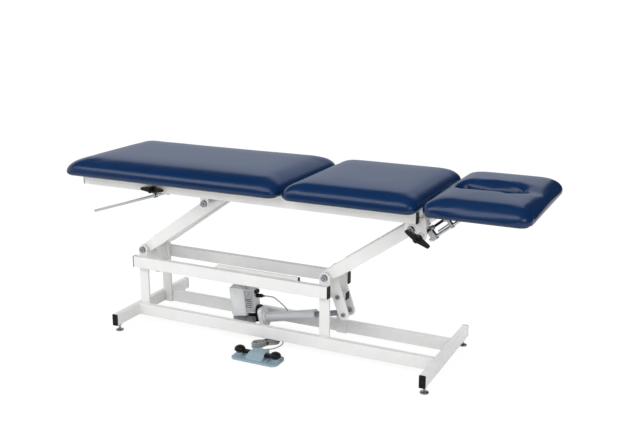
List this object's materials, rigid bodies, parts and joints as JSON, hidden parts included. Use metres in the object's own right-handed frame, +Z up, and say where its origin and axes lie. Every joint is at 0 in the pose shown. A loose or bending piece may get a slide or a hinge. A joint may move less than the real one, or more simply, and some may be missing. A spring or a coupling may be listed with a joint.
{
  "type": "three-section hi-lo treatment table",
  "caption": "Powered treatment table with a long back section, a middle and a head section with a face opening, on a parallelogram lift with a foot switch.",
  "frame": {"origin": "on the floor under the middle of the top's length and width", "axes": "+X towards the head section along the length, +Y across the table away from the foot switch, +Z up"},
  "size_m": [1.976, 0.61, 0.75],
  "materials": {
    "frame_white": "smooth off-white powder coat",
    "black_plastic": "black moulded plastic",
    "zinc": "zinc plated steel",
    "chrome": "chrome plated steel",
    "navy_vinyl": "glossy navy vinyl over foam",
    "board": "dark backing board",
    "motor_grey": "light grey moulded housing",
    "aluminium": "satin aluminium tube",
    "switch_blue": "blue-grey painted casting",
    "black_rubber": "black rubber and plastic grips",
    "cord_grey": "grey flexible cord"
  },
  "bodies": {
    "base": {"cross_feet": "frame_white", "floor_rails": "frame_white", "mid_rails": "frame_white", "pivot_posts": "frame_white", "base_tie": "frame_white", "stop_bar": "frame_white", "base_end_caps": "black_plastic", "lower_pivot_bolts": "zinc", "motor_bracket": "zinc", "motor_bolt": "zinc", "switch_base": "switch_blue", "switch_cord": "cord_grey", "cord_hank": "cord_grey"},
    "left_lift": {"left_arms": "frame_white", "left_sleeve": "frame_white", "left_crank_plates": "frame_white", "left_top_shaft": "frame_white", "left_link_bolt": "zinc"},
    "right_lift": {"right_arms": "frame_white", "right_sleeve": "frame_white", "right_crank_plates": "frame_white", "right_top_shaft": "frame_white", "right_crank_bolts": "zinc"},
    "link": {"drag_link": "frame_white", "drag_link_caps": "black_plastic"},
    "actuator": {"gear_case": "black_plastic", "motor_housing": "motor_grey", "drive_flange": "motor_grey", "actuator_tube": "aluminium", "motor_plug": "black_plastic"},
    "ram": {"actuator_rod": "zinc"},
    "top_frame": {"top_rails": "frame_white", "top_cross_tubes": "frame_white", "top_end_caps": "black_plastic", "left_pivot_tabs": "frame_white", "right_pivot_plates": "frame_white", "upper_pivot_bolts": "zinc", "middle_board": "board", "middle_cushion": "navy_vinyl", "frame_hinge_leaves": "zinc"},
    "back_section": {"back_board": "board", "back_cushion": "navy_vinyl", "back_hinge_leaves": "zinc", "back_rod_bracket": "zinc"},
    "head_section": {"head_board": "board", "head_cushion": "navy_vinyl", "head_hinge_leaves": "zinc", "head_rod_bracket": "zinc"},
    "back_clamp": {"back_clamp": "zinc"},
    "back_rod": {"back_slide_rod": "chrome"},
    "back_handle": {"back_t_handle": "black_rubber"},
    "head_clamp": {"head_clamp": "zinc"},
    "head_rod": {"head_slide_rod": "chrome"},
    "head_handle": {"head_t_handle": "black_rubber"},
    "glide_front_left": {"glide_front_left": "zinc"},
    "glide_front_right": {"glide_front_right": "zinc"},
    "glide_rear_left": {"glide_rear_left": "zinc"},
    "glide_rear_right": {"glide_rear_right": "zinc"},
    "left_pedal": {"left_pedal": "black_rubber"},
    "right_pedal": {"right_pedal": "black_rubber"}
  },
  "joints": [
    {"name": "lift", "type": "hinge", "parent": "base", "child": "right_lift", "pos_m": [0.14117, 0, 0.328], "axis": [0, -1, 0], "range_deg": [-33, 28]},
    {"name": "left_arms_turn", "type": "hinge", "parent": "base", "child": "left_lift", "pos_m": [-0.74683, 0, 0.328], "axis": [0, -1, 0], "range_deg": [-33.5, 28.5]},
    {"name": "top_level", "type": "hinge", "parent": "right_lift", "child": "top_frame", "pos_m": [0.536, 0, 0.60446], "axis": [0, -1, 0], "range_deg": [-28.5, 33.5]},
    {"name": "link_turn", "type": "hinge", "parent": "right_lift", "child": "link", "pos_m": [0.17537, 0, 0.23403], "axis": [0, -1, 0], "range_deg": [-28.5, 33.5]},
    {"name": "actuator_tilt", "type": "hinge", "parent": "base", "child": "actuator", "pos_m": [-0.22983, 0, 0.062], "axis": [0, -1, 0], "range_deg": [-0.65, 0.59]},
    {"name": "actuator_stroke", "type": "slide", "parent": "actuator", "child": "ram", "axis": [0.9743, 0, 0.225], "range_m": [-0.10006, 0.08505]},
    {"name": "back_raise", "type": "hinge", "parent": "top_frame", "child": "back_section", "pos_m": [0.037, 0, 0.70596], "axis": [0, 1, 0], "range_deg": [0, 45]},
    {"name": "head_lower", "type": "hinge", "parent": "top_frame", "child": "head_section", "pos_m": [0.591, 0, 0.70596], "axis": [0, 1, 0], "range_deg": [0, 35]},
    {"name": "back_clamp_turn", "type": "hinge", "parent": "top_frame", "child": "back_clamp", "pos_m": [-0.574, -0.126, 0.65026], "axis": [0, -1, 0], "range_deg": [-0.3, 34.55]},
    {"name": "back_rod_slide", "type": "slide", "parent": "back_clamp", "child": "back_rod", "axis": [0.9536, 0, 0.3011], "range_m": [-0.001, 0.235]},
    {"name": "head_clamp_turn", "type": "hinge", "parent": "top_frame", "child": "head_clamp", "pos_m": [0.577, -0.104, 0.58746], "axis": [0, -1, 0], "range_deg": [-18.85, 0.3]},
    {"name": "head_rod_slide", "type": "slide", "parent": "head_clamp", "child": "head_rod", "axis": [0.7738, 0, 0.6334], "range_m": [-0.06892, 0.001]},
    {"name": "back_handle_turn", "type": "hinge", "parent": "top_frame", "child": "back_handle", "pos_m": [-0.574, -0.126, 0.65026], "axis": [0, 1, 0], "range_deg": [-20, 20]},
    {"name": "head_handle_turn", "type": "hinge", "parent": "top_frame", "child": "head_handle", "pos_m": [0.577, -0.104, 0.58746], "axis": [0, 1, 0], "range_deg": [-60, 60]},
    {"name": "glide_front_left_turn", "type": "hinge", "parent": "base", "child": "glide_front_left", "pos_m": [-0.77383, -0.247, 0.015], "axis": [0, 0, 1], "continuous": true},
    {"name": "glide_front_right_turn", "type": "hinge", "parent": "base", "child": "glide_front_right", "pos_m": [0.62617, -0.247, 0.015], "axis": [0, 0, 1], "continuous": true},
    {"name": "glide_rear_left_turn", "type": "hinge", "parent": "base", "child": "glide_rear_left", "pos_m": [-0.77383, 0.247, 0.015], "axis": [0, 0, 1], "continuous": true},
    {"name": "glide_rear_right_turn", "type": "hinge", "parent": "base", "child": "glide_rear_right", "pos_m": [0.62617, 0.247, 0.015], "axis": [0, 0, 1], "continuous": true},
    {"name": "left_pedal_press", "type": "slide", "parent": "base", "child": "left_pedal", "axis": [0, 0, -1], "range_m": [0, 0.004], "stiffness_N_per_m": 1500, "springref_m": -0.002},
    {"name": "right_pedal_press", "type": "slide", "parent": "base", "child": "right_pedal", "axis": [0, 0, -1], "range_m": [0, 0.004], "stiffness_N_per_m": 1500, "springref_m": -0.002}
  ],
  "couplings": [
    {"joint": "left_arms_turn", "follows": "lift", "ratio": 1},
    {"joint": "top_level", "follows": "lift", "ratio": -1},
    {"joint": "link_turn", "follows": "lift", "ratio": -1},
    {"joint": "actuator_tilt", "follows": "lift", "ratio": 0.010533},
    {"joint": "actuator_stroke", "follows": "lift", "m_per_rad": 0.17199},
    {"joint": "back_clamp_turn", "follows": "back_raise", "ratio": 0.761},
    {"joint": "back_rod_slide", "follows": "back_raise", "m_per_rad": 0.29794},
    {"joint": "head_clamp_turn", "follows": "head_lower", "ratio": -0.53012},
    {"joint": "head_rod_slide", "follows": "head_lower", "m_per_rad": -0.11118}
  ]
}
